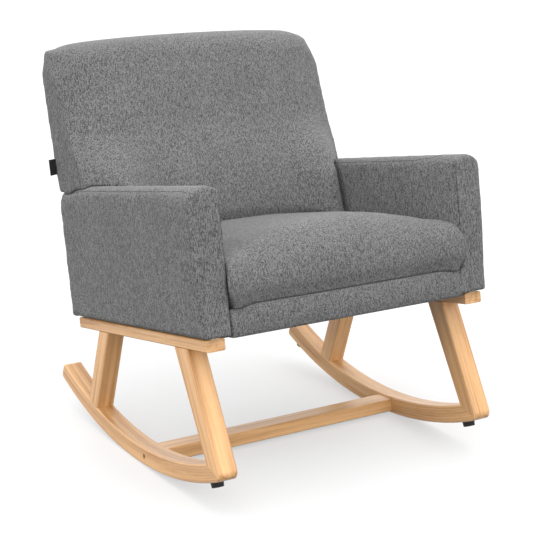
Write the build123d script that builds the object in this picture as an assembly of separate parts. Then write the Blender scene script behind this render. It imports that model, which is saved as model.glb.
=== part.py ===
from build123d import *
import math
import os

os.makedirs("parts", exist_ok=True)

# Driving dimensions, in millimetres and degrees.
# The chair is drawn level, seat rails along Y with the front at -Y and Z up. It is then leaned
# back about the origin, the middle of the line where the rockers touch the floor.

# Stance
ROCKER_RADIUS = 868.0
REST_LEAN = 10.25

# Wooden side frames
FRAME_WIDTH = 620.0
TIMBER_WIDTH = 39.0
EDGE_EASE = 2.2
RAIL_TOP = 267.0
RAIL_HEIGHT = 22.0
RAIL_FRONT = -365.0
RAIL_LENGTH = 554.0
FRONT_LEG_SETBACK = 75.5
FRONT_LEG_TOP = 50.0
FRONT_LEG_LEAN = 19.5
FRONT_LEG_TAPER_ANGLE = 1.8
REAR_LEG_SETBACK = 93.0
REAR_LEG_TOP = 44.0
REAR_LEG_LEAN = 30.0
ROCKER_THICKNESS = 35.0
ROCKER_REAR_ANGLE = 23.0
ROCKER_END_ROUND = 9.0
MITRE_ROUND = 15.0

# Stretcher between the rockers
STRETCHER_ANGLE = -3.8
STRETCHER_DEPTH = 45.5
STRETCHER_HEIGHT = 28.0
STRETCHER_HOUSING = 4.0
STRETCHER_BOLT_REACH = 44.0
STRETCHER_NUT_INSET = 34.0
COUNTERBORE_DIAMETER = 11.0
COUNTERBORE_DEPTH = 12.0

# Rubber stops under the rocker ends
STOP_DIAMETER = 25.0
STOP_TIP_DIAMETER = 23.0
STOP_THICKNESS = 10.5
FRONT_STOP_ANGLE = -21.2
REAR_STOP_ANGLE = 20.5

# Fasteners
BOLT_DIAMETER = 6.0
BOLT_HEAD_DIAMETER = 10.0
BOLT_HEAD_HEIGHT = 5.0
HEX_HEAD_WIDTH = 10.0
HEX_HEAD_HEIGHT = 4.0
BOLT_POCKET_DIAMETER = 13.0
BOLT_POCKET_DEPTH = 7.0
BARREL_NUT_DIAMETER = 10.0
BARREL_NUT_LENGTH = 16.0
TENON_WIDTH = 24.0
TENON_THICKNESS = 8.0
TENON_IN_RAIL = 13.0
TENON_IN_LEG = 22.0
TENON_IN_MITRE = 11.0
HOLE_GAP = 0.3
FIT_GAP = 0.1
END_GAP = 1.0

# Upholstered arms
ARM_SIDE_OVERHANG = 8.0
ARM_FRONT_OVERHANG = 14.0
ARM_REAR_OVERHANG = 4.0
ARM_THICKNESS = 57.0
ARM_TOP = 540.0
ARM_CROWN_ANGLE = 14.0
ARM_TOP_ROUND = 18.0
ARM_FRONT_ROUND = 12.0
ARM_REAR_EASE = 5.0
COVER_LIFT = 3.0
PANEL_THICKNESS = 18.0
PANEL_PADDING = 13.0
ARM_BOLT_END_INSET = 36.0
ARM_BOLT_REACH = 38.0

# Seat frame and springs
SEAT_FRAME_SETBACK = 8.0
SEAT_RAIL_THICKNESS = 26.0
SEAT_RAIL_HEIGHT = 36.0
CORNER_BLOCK_LEG = 48.0
SIDE_BOLT_BITE = 11.0
SIDE_BOLT_HEIGHT = 18.0
SIDE_BOLT_CLEAR = 25.0
SPRING_COUNT = 4
SPRING_PITCH = 112.0
SPRING_WIRE = 3.8
SPRING_WIDTH = 50.0
SPRING_WAVE = 38.0
CLIP_WALL = 1.4
CLIP_WIDTH = 20.0
CLIP_TAB = 8.0
DECK_THICKNESS = 6.0
DUST_COVER_THICKNESS = 1.5

# Soft pieces
SOFT_GAP = 0.3
SECTIONS_EACH_SIDE = 6
SEAT_FRONT_BULGE = 6.0
SEAT_FRONT_TUCK = 11.0
SEAT_CREST = 456.0
SEAT_EDGE_DROP = 56.0
SEAT_CROWN_POWER = 3.5
SEAT_REAR_DROP = 14.0
SEAT_FRONT_ROUND = 80.0
SEAT_EDGE_ROUND = 34.0
SEAT_WAIST = 32.0
SEAT_LOWER_ROUND = 40.0
SEAT_REAR_ROUND = 14.0
SEAT_TO_BACK = 4.0
BORDER_BULGE = 4.0
BORDER_FACE_SETBACK = 5.0
BACK_LEAN = 5.5
BACK_FACE_LEAN = 10.3
BACK_DEPTH_AT_FOOT = 131.0
BACK_TOP = 841.0
BACK_SIDE_INSET = 8.0
BACK_CROWN = 34.0
BACK_CROWN_POWER = 5.0
BACK_TOP_DROP = 9.0
BACK_CORNER_ROUND = 36.0
BACK_FRONT_ROUND = 62.0
BACK_REAR_ROUND = 26.0

# Back frame, measured forward from the rear face of the back and up along it
OUTER_BACK_THICKNESS = 3.0
POST_WIDTH = 20.0
POST_FOOT_DEPTH = 98.0
POST_TOP_DEPTH = 38.0
WING_SKIN = 24.0
WING_WIDTH = 20.0
WING_LIFT = 12.0
BACK_TOP_SKIN = 27.0
TOP_RAIL_HEIGHT = 25.0
LOWER_RAIL_BASE = 112.0
LOWER_RAIL_HEIGHT = 40.0
LOWER_RAIL_THICKNESS = 20.0
STRAP_COUNT = 4
STRAP_WIDTH = 50.0
STRAP_THICKNESS = 2.0
BACK_BOLT_BITE = 20.0
BACK_BOLT_INSET = 22.0

# Bare cloth tab in the rear seam of the back's left side
TAB_HEIGHT = 33.0
TAB_REACH = 14.0
TAB_THICKNESS = 1.4
TAB_MIDDLE = 583.0
TAB_FROM_REAR = 6.0

# Places that follow from the driving dimensions
frame_half = FRAME_WIDTH / 2
timber_inner = frame_half - TIMBER_WIDTH
timber_middle = frame_half - TIMBER_WIDTH / 2
rail_bottom = RAIL_TOP - RAIL_HEIGHT
rail_rear = RAIL_FRONT + RAIL_LENGTH
rocker_y = -ROCKER_RADIUS * math.sin(math.radians(REST_LEAN))
rocker_z = ROCKER_RADIUS * math.cos(math.radians(REST_LEAN))
rocker_top_radius = ROCKER_RADIUS - ROCKER_THICKNESS

arm_outer = frame_half + ARM_SIDE_OVERHANG
arm_inner = arm_outer - ARM_THICKNESS
arm_front = RAIL_FRONT - ARM_FRONT_OVERHANG
arm_rear = rail_rear + ARM_REAR_OVERHANG
cover_bottom = RAIL_TOP + COVER_LIFT
panel_inner = timber_middle - PANEL_THICKNESS / 2
panel_front = arm_front + PANEL_PADDING
panel_rear = arm_rear - PANEL_PADDING
panel_top = ARM_TOP - 2 * PANEL_PADDING

seat_frame_front = RAIL_FRONT + SEAT_FRAME_SETBACK
seat_frame_top = RAIL_TOP + SEAT_RAIL_HEIGHT
seat_side_inner = panel_inner - SEAT_RAIL_THICKNESS
clip_outer_reach = SPRING_WIRE / 2 + HOLE_GAP + CLIP_WALL
spring_height = seat_frame_top + clip_outer_reach
deck_bottom = spring_height + clip_outer_reach + SOFT_GAP
seat_bottom = deck_bottom + DECK_THICKNESS + SOFT_GAP
seat_half = arm_inner - SOFT_GAP
side_rail_rear = rail_rear - PANEL_PADDING

back_half = arm_outer - BACK_SIDE_INSET
back_foot_rear = rail_rear + ARM_REAR_OVERHANG / 2
back_bottom = deck_bottom
back_frame_rear = -OUTER_BACK_THICKNESS - SOFT_GAP
post_front = back_frame_rear - POST_FOOT_DEPTH
wing_half = back_half - WING_SKIN
back_slope = math.tan(math.radians(BACK_LEAN))
face_slope = math.tan(math.radians(BACK_FACE_LEAN))

back_run = (BACK_TOP - cover_bottom) / math.cos(math.radians(BACK_LEAN))
wing_base = (ARM_TOP + WING_LIFT - cover_bottom) / math.cos(math.radians(BACK_LEAN))
frame_top = back_run - BACK_TOP_SKIN
post_top = frame_top - TOP_RAIL_HEIGHT
post_taper = math.degrees(math.atan((POST_FOOT_DEPTH - POST_TOP_DEPTH) / frame_top))

LEANED = Rot(X=-REST_LEAN)
BACK_PLACE = Pos(0, back_foot_rear, cover_bottom) * Rot(X=-BACK_LEAN)
POST_FRONT_PLACE = BACK_PLACE * Pos(0, post_front, 0) * Rot(X=-post_taper)
UP = Vector(0, 0, 1)
OUTWARD = Vector(1, 0, 0)
INWARD = Vector(-1, 0, 0)
FROM_BASE = (Align.CENTER, Align.CENTER, Align.MIN)
FROM_TOP = (Align.CENTER, Align.CENTER, Align.MAX)


# Drawing helpers
def box_between(x_range, y_range, z_range):
    """A box from its lowest to its highest corner."""
    low = Vector(x_range[0], y_range[0], z_range[0])
    high = Vector(x_range[1], y_range[1], z_range[1])
    size = high - low
    return Location((low + high) * 0.5) * Box(size.X, size.Y, size.Z)


def rod(start, direction, length, diameter):
    """A round bar from a point along a direction."""
    return Plane(origin=start, z_dir=direction) * Cylinder(diameter / 2, length, align=FROM_BASE)


def socket_bolt(seat, direction, length):
    """A bolt with a round head that rests on seat."""
    head = rod(seat, -direction, BOLT_HEAD_HEIGHT, BOLT_HEAD_DIAMETER)
    return head + rod(seat, direction, length, BOLT_DIAMETER)


def hex_bolt(seat, direction, length):
    """A bolt with a six-sided head that rests on seat."""
    outline = RegularPolygon(HEX_HEAD_WIDTH / 2, 6, major_radius=False)
    head = Plane(origin=seat, z_dir=-direction) * extrude(outline, HEX_HEAD_HEIGHT)
    return head + rod(seat, direction, length, BOLT_DIAMETER)


def bolt_hole(start, direction, length):
    return rod(start, direction, length, BOLT_DIAMETER + 2 * HOLE_GAP)


def corner_arc(before, corner, after, radius):
    """Start, middle and end of the arc that rounds one corner."""
    back_way = (before - corner).normalized()
    on_way = (after - corner).normalized()
    half_angle = math.radians(back_way.get_angle(on_way)) / 2
    reach = radius / math.tan(half_angle)
    centre = corner + (back_way + on_way).normalized() * (radius / math.sin(half_angle))
    middle = centre + (corner - centre).normalized() * radius
    return corner + back_way * reach, middle, corner + on_way * reach


def rounded_face(x, corners):
    """A face across the chair at x, from (y, z, radius) corners; a corner of radius 0 stays sharp."""
    points = [Vector(x, y, z) for y, z, _ in corners]
    arcs = []
    for index, point in enumerate(points):
        radius = corners[index][2]
        after = points[(index + 1) % len(points)]
        arcs.append(corner_arc(points[index - 1], point, after, radius) if radius else (point, None, point))
    edges = []
    for index, (start, middle, end) in enumerate(arcs):
        edges.append(Edge.make_line(arcs[index - 1][2], start))
        if middle:
            edges.append(Edge.make_three_point_arc(start, middle, end))
    return Face(Wire(edges))


def side_prism(points, x_start, x_end):
    """A prism between two x planes, from points given as (y, z)."""
    outline = Wire.make_polygon([Vector(x_start, y, z) for y, z in points])
    return extrude(Face(outline), amount=x_end - x_start, dir=(1, 0, 0))


def both_sides(right_shape):
    """The left and right copies of a shape drawn on the +X side."""
    return {"left": mirror(right_shape, about=Plane.YZ), "right": right_shape}


def export(name, shape):
    """Writes one node, leaned back to the resting pose."""
    export_step(LEANED * shape, f"parts/{name}.step")


def export_group(name, shapes):
    """Writes one node of several separate solids."""
    solids = [solid for shape in shapes for solid in shape.solids()]
    export(name, Compound(solids))


def export_both(name, right_shapes):
    """Writes one node of the left and right copies of every shape."""
    export_group(name, [copy for shape in right_shapes for copy in both_sides(shape).values()])


def export_pair(name, right_shape):
    for side, shape in both_sides(right_shape).items():
        export(f"{side}_{name}", shape)


# Side frame geometry, in the plane of one side frame
def rocker_point(angle_from_floor, radius):
    """The (y, z) at an angle from the floor contact, positive to the rear."""
    angle = math.radians(angle_from_floor + REST_LEAN)
    return rocker_y + radius * math.sin(angle), rocker_z - radius * math.cos(angle)


def rocker_normal(angle_from_floor):
    """Direction out of the rocker's underside."""
    angle = math.radians(angle_from_floor + REST_LEAN)
    return Vector(0, math.sin(angle), -math.cos(angle))


def down_to_circle(start_y, start_z, lean, radius):
    """Where a line that drops from a point meets a circle about the rocker's centre."""
    step_y = math.sin(math.radians(lean))
    step_z = -math.cos(math.radians(lean))
    away_y = start_y - rocker_y
    away_z = start_z - rocker_z
    along = away_y * step_y + away_z * step_z
    gap = away_y**2 + away_z**2 - radius**2
    distance = -along + math.sqrt(along**2 - gap)
    return start_y + step_y * distance, start_z + step_z * distance


front_leg_front = RAIL_FRONT + FRONT_LEG_SETBACK
front_leg_rear = front_leg_front + FRONT_LEG_TOP
rear_leg_rear = rail_rear - REAR_LEG_SETBACK
rear_leg_front = rear_leg_rear - REAR_LEG_TOP
mitre_tip = down_to_circle(front_leg_front, rail_bottom, -FRONT_LEG_LEAN, ROCKER_RADIUS)
mitre_heel = down_to_circle(
    front_leg_rear, rail_bottom, -FRONT_LEG_LEAN - FRONT_LEG_TAPER_ANGLE, rocker_top_radius
)
mitre_middle = Vector(
    timber_middle, (mitre_tip[0] + mitre_heel[0]) / 2, (mitre_tip[1] + mitre_heel[1]) / 2
)
mitre_run = Vector(0, mitre_heel[0] - mitre_tip[0], mitre_heel[1] - mitre_tip[1]).normalized()
mitre_normal = Vector(0, mitre_run.Z, -mitre_run.Y)
mitre_plane = Plane(origin=mitre_middle, z_dir=mitre_normal)


def rocker_disc(radius):
    """A solid disc about the rocker's centre, across the timber."""
    centre = Vector(timber_inner, rocker_y, rocker_z)
    return rod(centre, Vector(1, 0, 0), TIMBER_WIDTH, 2 * radius)


def eased(timber, stays_sharp):
    """Takes the sharp arrises off a timber's two side faces, except where it meets another."""
    edges = timber.faces().filter_by(Axis.X).edges()
    soft = [edge for edge in edges if not stays_sharp(edge)]
    return chamfer(soft, EDGE_EASE)


def at_rail(edge):
    return abs(edge.center().Z - rail_bottom) < EDGE_EASE


def at_mitre(edge):
    return all(abs(mitre_plane.to_local_coords(edge @ t).Z) < HOLE_GAP for t in (0, 1))


def at_rocker_top(edge):
    away = [Vector(0, (edge @ t).Y - rocker_y, (edge @ t).Z - rocker_z).length for t in (0, 1)]
    return all(abs(length - rocker_top_radius) < HOLE_GAP for length in away)


def front_leg_and_rocker():
    """Both timbers from one blank, rounded at the toe and parted along the mitre."""
    leg_outline = [
        (front_leg_front, rail_bottom),
        (front_leg_rear, rail_bottom),
        mitre_heel,
        mitre_tip,
    ]
    leg = side_prism(leg_outline, timber_inner, frame_half)
    ring = rocker_disc(ROCKER_RADIUS) - rocker_disc(rocker_top_radius)
    rear_end = rocker_point(ROCKER_REAR_ANGLE, 2 * ROCKER_RADIUS)
    wedge_outline = [(rocker_y, rocker_z), rear_end, (rocker_y, -ROCKER_RADIUS), mitre_tip, mitre_heel]
    rocker = ring & side_prism(wedge_outline, timber_inner, frame_half)
    blank = leg + rocker
    toe = blank.edges().filter_by(Axis.X).sort_by_distance(Vector(timber_middle, *mitre_tip))[0]
    blank = fillet(toe, MITRE_ROUND)
    leg = split(blank, bisect_by=mitre_plane, keep=Keep.BOTTOM)
    rocker = split(blank, bisect_by=mitre_plane, keep=Keep.TOP)
    end_face = Vector(timber_middle, *rocker_point(ROCKER_REAR_ANGLE, ROCKER_RADIUS))
    end_edges = rocker.edges().filter_by(Axis.X).sort_by_distance(end_face)[:2]
    rocker = fillet(end_edges, ROCKER_END_ROUND)
    return eased(leg, lambda edge: at_rail(edge) or at_mitre(edge)), eased(rocker, at_mitre)


def rear_leg():
    """A slanted timber whose foot is cut to the rocker's curve."""
    run = rail_bottom * math.tan(math.radians(REAR_LEG_LEAN))
    outline = [
        (rear_leg_front, rail_bottom),
        (rear_leg_rear, rail_bottom),
        (rear_leg_rear + run, 0),
        (rear_leg_front + run, 0),
    ]
    leg = side_prism(outline, timber_inner, frame_half) & rocker_disc(rocker_top_radius)
    return eased(leg, lambda edge: at_rail(edge) or at_rocker_top(edge))


def seat_rail():
    rail = box_between((timber_inner, frame_half), (RAIL_FRONT, rail_rear), (rail_bottom, RAIL_TOP))
    return chamfer(rail.edges().filter_by(Axis.Y), EDGE_EASE)


# Loose tenons of one side frame: where each crosses its joint, its axis, and how far it goes each way
rear_foot = down_to_circle(
    (rear_leg_front + rear_leg_rear) / 2, rail_bottom, REAR_LEG_LEAN, rocker_top_radius
)
rear_foot_normal = Vector(0, rear_foot[0] - rocker_y, rear_foot[1] - rocker_z).normalized()
TENON_JOINTS = [
    ((front_leg_front + front_leg_rear) / 2, rail_bottom, UP, TENON_IN_LEG, TENON_IN_RAIL),
    ((rear_leg_front + rear_leg_rear) / 2, rail_bottom, UP, TENON_IN_LEG, TENON_IN_RAIL),
    (mitre_middle.Y, mitre_middle.Z, mitre_normal, TENON_IN_MITRE, TENON_IN_MITRE),
    (*rear_foot, rear_foot_normal, TENON_IN_LEG, TENON_IN_RAIL),
]


def loose_tenons(side_gap, end_gap):
    """The tenons of the right side frame, or with gaps the mortises that take them."""
    tenons = []
    for y, z, axis, back, ahead in TENON_JOINTS:
        start = Vector(timber_middle, y, z) - axis * (back + end_gap)
        place = Plane(origin=start, x_dir=OUTWARD, z_dir=axis)
        width = TENON_WIDTH + 2 * side_gap
        thickness = TENON_THICKNESS + 2 * side_gap
        tenons.append(place * Box(width, thickness, back + ahead + 2 * end_gap, align=FROM_BASE))
    return tenons


# Bolts that hold the arm panel down on the seat rail
arm_bolt_rows = [RAIL_FRONT + ARM_BOLT_END_INSET, rail_rear - ARM_BOLT_END_INSET]
arm_bolt_seat = rail_bottom + BOLT_POCKET_DEPTH
arm_bolt_length = RAIL_TOP - arm_bolt_seat + ARM_BOLT_REACH
arm_bolt_seats = [Vector(timber_middle, y, arm_bolt_seat) for y in arm_bolt_rows]


def seat_rear_face_y(z):
    """Front face of the seat's rear rail at a height, leaning with the front of the back posts."""
    foot = POST_FRONT_PLACE.position
    lean = math.radians(BACK_LEAN + post_taper)
    return foot.Y - SEAT_RAIL_THICKNESS / math.cos(lean) + (z - foot.Z) * math.tan(lean)


# Bolts that hold the seat frame to the arm panels
block_clear = CORNER_BLOCK_LEG + SIDE_BOLT_CLEAR
side_bolt_rows = [
    seat_frame_front + SEAT_RAIL_THICKNESS + block_clear,
    seat_rear_face_y(RAIL_TOP) - block_clear,
]
side_bolt_seats = [Vector(seat_side_inner, y, RAIL_TOP + SIDE_BOLT_HEIGHT) for y in side_bolt_rows]
side_bolt_length = SEAT_RAIL_THICKNESS + SIDE_BOLT_BITE

# Stretcher and its fasteners
stretcher_y, stretcher_z = rocker_point(STRETCHER_ANGLE, ROCKER_RADIUS - ROCKER_THICKNESS / 2)
STRETCHER_PLACE = Pos(0, stretcher_y, stretcher_z) * Rot(X=STRETCHER_ANGLE + REST_LEAN)


def on_stretcher(x):
    """A point on the stretcher's centre line."""
    return (STRETCHER_PLACE * Pos(x, 0, 0)).position


stretcher_half = timber_inner + STRETCHER_HOUSING
stretcher_bolt_seat = on_stretcher(frame_half - COUNTERBORE_DEPTH)
stretcher_bolt_length = TIMBER_WIDTH - COUNTERBORE_DEPTH + STRETCHER_BOLT_REACH


def stretcher_bar(gap):
    """The bar with its two ends let into the rockers, or with a gap the room that it takes."""
    return STRETCHER_PLACE * Box(2 * stretcher_half, STRETCHER_DEPTH + 2 * gap, STRETCHER_HEIGHT + 2 * gap)


stretcher_nut_top = STRETCHER_PLACE * Pos(timber_inner - STRETCHER_NUT_INSET, 0, BARREL_NUT_LENGTH / 2)


def stretcher_nut():
    """A round nut standing in the stretcher's end, cross-drilled for the bolt."""
    nut = stretcher_nut_top * Cylinder(BARREL_NUT_DIAMETER / 2, BARREL_NUT_LENGTH, align=FROM_TOP)
    return nut - bolt_hole(stretcher_bolt_seat, INWARD, stretcher_bolt_length)


def stretcher_nut_hole():
    """A blind hole from the underside that takes the nut."""
    return stretcher_nut_top * Cylinder(BARREL_NUT_DIAMETER / 2 + HOLE_GAP, STRETCHER_HEIGHT, align=FROM_TOP)


def stretcher_bolt_cuts():
    """Counterbore and bolt hole at the right end, shared by stretcher and rocker."""
    return [
        rod(on_stretcher(frame_half), INWARD, COUNTERBORE_DEPTH, COUNTERBORE_DIAMETER),
        bolt_hole(stretcher_bolt_seat, INWARD, stretcher_bolt_length + END_GAP),
    ]


# Rubber stops
def stop_places():
    """Where the right side's stops meet the rocker, with the direction they point."""
    places = []
    for angle in (FRONT_STOP_ANGLE, REAR_STOP_ANGLE):
        at = Vector(timber_middle, *rocker_point(angle, ROCKER_RADIUS))
        places.append((at, rocker_normal(angle)))
    return places


def rubber_stop(at, down):
    """A tapered disc under the rocker."""
    place = Plane(origin=at, z_dir=down)
    return place * Cone(STOP_DIAMETER / 2, STOP_TIP_DIAMETER / 2, STOP_THICKNESS, align=FROM_BASE)


def build_side_frames():
    front_leg, rocker = front_leg_and_rocker()
    mortises = loose_tenons(FIT_GAP, END_GAP)
    rail_holes = [rod(seat, -UP, BOLT_POCKET_DEPTH, BOLT_POCKET_DIAMETER) for seat in arm_bolt_seats]
    rail_holes += [bolt_hole(seat, UP, RAIL_HEIGHT) for seat in arm_bolt_seats]
    rocker_holes = [*stretcher_bolt_cuts(), stretcher_bar(FIT_GAP)]
    export_pair("seat_rail", seat_rail() - mortises - rail_holes)
    export_pair("front_leg", front_leg - mortises)
    export_pair("rear_leg", rear_leg() - mortises)
    export_pair("rocker", rocker - mortises - rocker_holes)
    export_both("leg_tenons", loose_tenons(0, 0))


def build_stretcher():
    bar = stretcher_bar(0)
    bar = chamfer(bar.edges().filter_by(Axis.X), EDGE_EASE)
    for cut in [*stretcher_bolt_cuts(), stretcher_nut_hole()]:
        bar = bar - list(both_sides(cut).values())
    export("stretcher", bar)
    export_both("stretcher_bolts", [socket_bolt(stretcher_bolt_seat, INWARD, stretcher_bolt_length)])
    export_both("stretcher_nuts", [stretcher_nut()])


def build_stops():
    export_both("rubber_stops", [rubber_stop(at, down) for at, down in stop_places()])


# Arms
def arm_corner_height():
    """Height of the centres of the arm's two top corner arcs, under a crown tangent to both."""
    crown = math.radians(ARM_CROWN_ANGLE)
    half_chord = ARM_THICKNESS / 2 - ARM_TOP_ROUND * (1 - math.sin(crown))
    crown_rise = half_chord * math.tan(crown / 2)
    return ARM_TOP - crown_rise - ARM_TOP_ROUND * math.cos(crown)


def arm_form():
    """The padded outside of the right arm: a crowned section along Y with rounded ends."""
    centre_z = arm_corner_height()
    turn = 90 - ARM_CROWN_ANGLE
    middle_x = (arm_inner + arm_outer) / 2

    def at(x, z):
        return Vector(x, arm_front, z)

    def on_corner(way, angle):
        centre_x = middle_x + way * (ARM_THICKNESS / 2 - ARM_TOP_ROUND)
        reach = ARM_TOP_ROUND * math.cos(math.radians(angle))
        return at(centre_x + way * reach, centre_z + ARM_TOP_ROUND * math.sin(math.radians(angle)))

    def corner(way):
        return [on_corner(way, angle) for angle in (0, turn / 2, turn)]

    outer = corner(1)
    inner = corner(-1)
    edges = [
        Edge.make_line(at(arm_inner, cover_bottom), at(arm_outer, cover_bottom)),
        Edge.make_line(at(arm_outer, cover_bottom), outer[0]),
        Edge.make_three_point_arc(*outer),
        Edge.make_three_point_arc(outer[2], at(middle_x, ARM_TOP), inner[2]),
        Edge.make_three_point_arc(*reversed(inner)),
        Edge.make_line(inner[0], at(arm_inner, cover_bottom)),
    ]
    form = extrude(Face(Wire(edges)), amount=arm_rear - arm_front, dir=(0, 1, 0))

    def above_base(face):
        return [edge for edge in face.edges() if edge.center().Z > cover_bottom + HOLE_GAP]

    form = fillet(above_base(form.faces().sort_by(Axis.Y)[0]), ARM_FRONT_ROUND)
    return chamfer(above_base(form.faces().sort_by(Axis.Y)[-1]), ARM_REAR_EASE)


def arm_panel_blank(gap):
    """The plywood panel inside the arm, grown by a gap for the pocket that takes it."""
    return box_between(
        (panel_inner - gap, panel_inner + PANEL_THICKNESS + gap),
        (panel_front - gap, panel_rear + gap),
        (RAIL_TOP - gap, panel_top + gap),
    )


def arm_panel():
    """Plywood with the holes for its bolts."""
    panel = arm_panel_blank(0)
    for seat in arm_bolt_seats:
        panel = panel - rod(seat, UP, arm_bolt_length + END_GAP, BOLT_DIAMETER + 2 * FIT_GAP)
    for seat in side_bolt_seats:
        panel = panel - rod(seat, OUTWARD, side_bolt_length + END_GAP, BOLT_DIAMETER + 2 * FIT_GAP)
    return panel


def arm_padding():
    """Foam and cover over the panel, cut back below for the seat frame's side rail."""
    seat_frame_room = box_between(
        (arm_inner - ARM_THICKNESS, panel_inner),
        (seat_frame_front - SOFT_GAP, side_rail_rear + SOFT_GAP),
        (rail_bottom, seat_frame_top + SOFT_GAP),
    )
    return arm_form() - arm_panel_blank(SOFT_GAP) - seat_frame_room


def build_arms():
    export_pair("arm_panel", arm_panel())
    export_pair("arm_padding", arm_padding())
    export_both("arm_bolts", [hex_bolt(seat, UP, arm_bolt_length) for seat in arm_bolt_seats])


# Seat frame
def level_slab(bottom, top):
    """Everything between two heights, wider than the chair."""
    reach = RAIL_LENGTH
    return box_between((-reach, reach), (RAIL_FRONT - reach, rail_rear + reach), (bottom, top))


def back_box(x_range, y_range, z_range):
    """A box in the leaning frame of the back: y forward is negative, z runs up the rear face."""
    return BACK_PLACE * box_between(x_range, y_range, z_range)


def post_front_box(x_range, y_range, z_range):
    """A box in the frame of the posts' front edges: z runs up along them."""
    return POST_FRONT_PLACE * box_between(x_range, y_range, z_range)


def seat_rear_rail():
    """A rail against the front edges of the back posts, cut level above and below."""
    reach = 2 * SEAT_RAIL_HEIGHT
    span = (-seat_side_inner, seat_side_inner)
    rail = post_front_box(span, (-SEAT_RAIL_THICKNESS, 0), (-reach, reach))
    return rail & level_slab(RAIL_TOP, seat_frame_top)


def corner_blocks():
    """Glued blocks in the right corners of the frame, the rear one cut to the leaning rail."""
    leg = CORNER_BLOCK_LEG
    inner_front = seat_frame_front + SEAT_RAIL_THICKNESS
    rear_edge = seat_rear_face_y(RAIL_TOP)
    blocks = []
    for tip_y, side_y in ((inner_front, inner_front + leg), (rear_edge, rear_edge - leg)):
        corners = [(seat_side_inner, tip_y), (seat_side_inner - leg, tip_y), (seat_side_inner, side_y)]
        outline = Wire.make_polygon([Vector(x, y, RAIL_TOP) for x, y in corners])
        blocks.append(extrude(Face(outline), amount=SEAT_RAIL_HEIGHT, dir=UP))
    return blocks


def spring_ends():
    """The y of the front and rear end bars of every spring."""
    front = seat_frame_front + SEAT_RAIL_THICKNESS / 2
    rear = seat_rear_face_y(seat_frame_top) + SEAT_RAIL_THICKNESS / 2
    return front, rear


def seat_spring(x):
    """A zigzag of bars across the seat, joined in turn at their left and right ends."""
    front, rear = spring_ends()
    bar_count = 2 * round((rear - front) / SPRING_WAVE / 2)
    step = (rear - front) / bar_count
    reach = (SPRING_WIDTH - SPRING_WIRE) / 2
    wire = None
    for index in range(bar_count + 1):
        y = front + index * step
        bar = Pos(x, y) * Rectangle(SPRING_WIDTH, SPRING_WIRE)
        wire = bar if wire is None else wire + bar
        if index < bar_count:
            side = reach if index % 2 == 0 else -reach
            wire = wire + Pos(x + side, y + step / 2) * Rectangle(SPRING_WIRE, step)
    return Pos(0, 0, spring_height - SPRING_WIRE / 2) * extrude(wire, amount=SPRING_WIRE)


def spring_clip(x, y, way):
    """A strap bent over the end bar, with a tab that lies flat on the rail."""
    across = (x - CLIP_WIDTH / 2, x + CLIP_WIDTH / 2)
    outer = clip_outer_reach
    inner = outer - CLIP_WALL
    back = y + way * outer
    bend = box_between(across, sorted((y - way * outer, back)), (seat_frame_top, spring_height + outer))
    tab_run = sorted((y, back + way * CLIP_TAB))
    tab = box_between(across, tab_run, (seat_frame_top, seat_frame_top + CLIP_WALL))
    mouth = sorted((y - way * outer, y + way * inner))
    room = box_between(across, mouth, (spring_height - inner, spring_height + inner))
    return bend + tab - room


def build_seat_frame():
    side_rail = box_between(
        (seat_side_inner, panel_inner), (seat_frame_front, side_rail_rear), (RAIL_TOP, seat_frame_top)
    )
    for seat in side_bolt_seats:
        side_rail = side_rail - bolt_hole(seat, OUTWARD, SEAT_RAIL_THICKNESS)
    for seat in back_bolt_seats():
        side_rail = side_rail - rod(seat, OUTWARD, back_bolt_length + END_GAP, BOLT_DIAMETER + 2 * FIT_GAP)
    front_rail = box_between(
        (-seat_side_inner, seat_side_inner),
        (seat_frame_front, seat_frame_front + SEAT_RAIL_THICKNESS),
        (RAIL_TOP, seat_frame_top),
    )
    export_pair("seat_side_rail", side_rail)
    export("seat_front_rail", front_rail)
    export("seat_rear_rail", seat_rear_rail())
    export_both("corner_blocks", corner_blocks())
    export_both("seat_side_bolts", [hex_bolt(seat, OUTWARD, side_bolt_length) for seat in side_bolt_seats])
    front, rear = spring_ends()
    places = [(index - (SPRING_COUNT - 1) / 2) * SPRING_PITCH for index in range(SPRING_COUNT)]
    export_group("seat_springs", [seat_spring(x) for x in places])
    clips = [spring_clip(x, front, -1) for x in places] + [spring_clip(x, rear, 1) for x in places]
    export_group("spring_clips", clips)


# Soft seat
def back_face_y(z, crown):
    """Front of the back cushion at a height, for a given crown."""
    foot = back_foot_rear + (back_bottom - cover_bottom) * back_slope - BACK_DEPTH_AT_FOOT
    return foot + (z - back_bottom) * face_slope - crown


seat_rear = back_face_y(seat_bottom, BACK_CROWN) - SEAT_TO_BACK


def seat_section(x, drop, bulge, front_round):
    """One side-view section of the seat cushion: tucked seam, full front, crowned top."""
    front = arm_front - bulge
    top = SEAT_CREST - drop
    waist = seat_bottom + SEAT_WAIST
    return rounded_face(
        x,
        [
            (seat_rear, seat_bottom, 0),
            (front + SEAT_FRONT_TUCK, seat_bottom, 0),
            (front, waist, SEAT_LOWER_ROUND),
            (front + SEAT_FRONT_TUCK / 2, top, front_round),
            (seat_rear, top - SEAT_REAR_DROP, SEAT_REAR_ROUND),
        ],
    )


def section_places(half_width):
    """The x of each loft section, closer together towards the sides, with its share of the half width."""
    count = SECTIONS_EACH_SIDE
    shares = [math.sin(math.radians(90 * step / count)) for step in range(-count, count + 1)]
    return [(half_width * share, abs(share)) for share in shares]


def seat_cushion():
    """Loft across the chair, full in the middle and falling away to both sides."""
    sections = []
    for x, share in section_places(seat_half):
        fall = share**SEAT_CROWN_POWER
        front_round = SEAT_FRONT_ROUND + (SEAT_EDGE_ROUND - SEAT_FRONT_ROUND) * fall
        sections.append(seat_section(x, SEAT_EDGE_DROP * fall, SEAT_FRONT_BULGE * (1 - fall), front_round))
    return loft(sections, ruled=True)


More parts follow.
